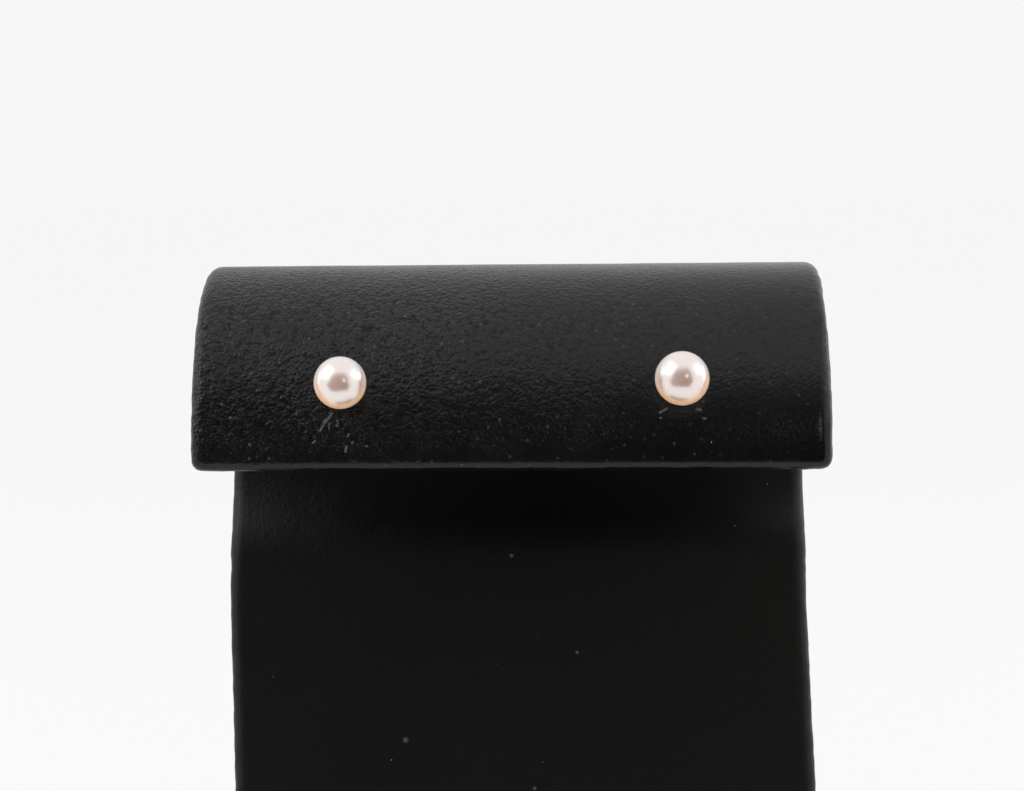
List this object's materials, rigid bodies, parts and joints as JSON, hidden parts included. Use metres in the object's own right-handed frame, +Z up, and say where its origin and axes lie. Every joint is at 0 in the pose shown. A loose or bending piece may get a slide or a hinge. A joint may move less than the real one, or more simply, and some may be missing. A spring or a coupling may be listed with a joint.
{
  "type": "pair of pearl stud earrings on a leather-covered display stand",
  "caption": "Round pearl studs pushed through the rolled front of a slim black leather-covered display stand, with butterfly ear nuts inside the roll.",
  "frame": {"origin": "on the surface that the stand rests on, under the middle of the base plate", "axes": "+Z up, -Y towards the front where the pearls are, +X to the right as seen from the front, along the roll"},
  "size_m": [0.065, 0.046, 0.088],
  "materials": {
    "pearl": "nacre with a high pinkish white lustre",
    "gold": "polished yellow gold",
    "leather": "fine pebble grain, black, softly sheened"
  },
  "bodies": {
    "root": {"pearl_left": "pearl", "pearl_right": "pearl", "stud_post_left": "gold", "stud_post_right": "gold", "ear_nut_left": "gold", "ear_nut_right": "gold", "stand_curl": "leather", "stand_upright": "leather", "stand_base": "leather"}
  },
  "joints": []
}
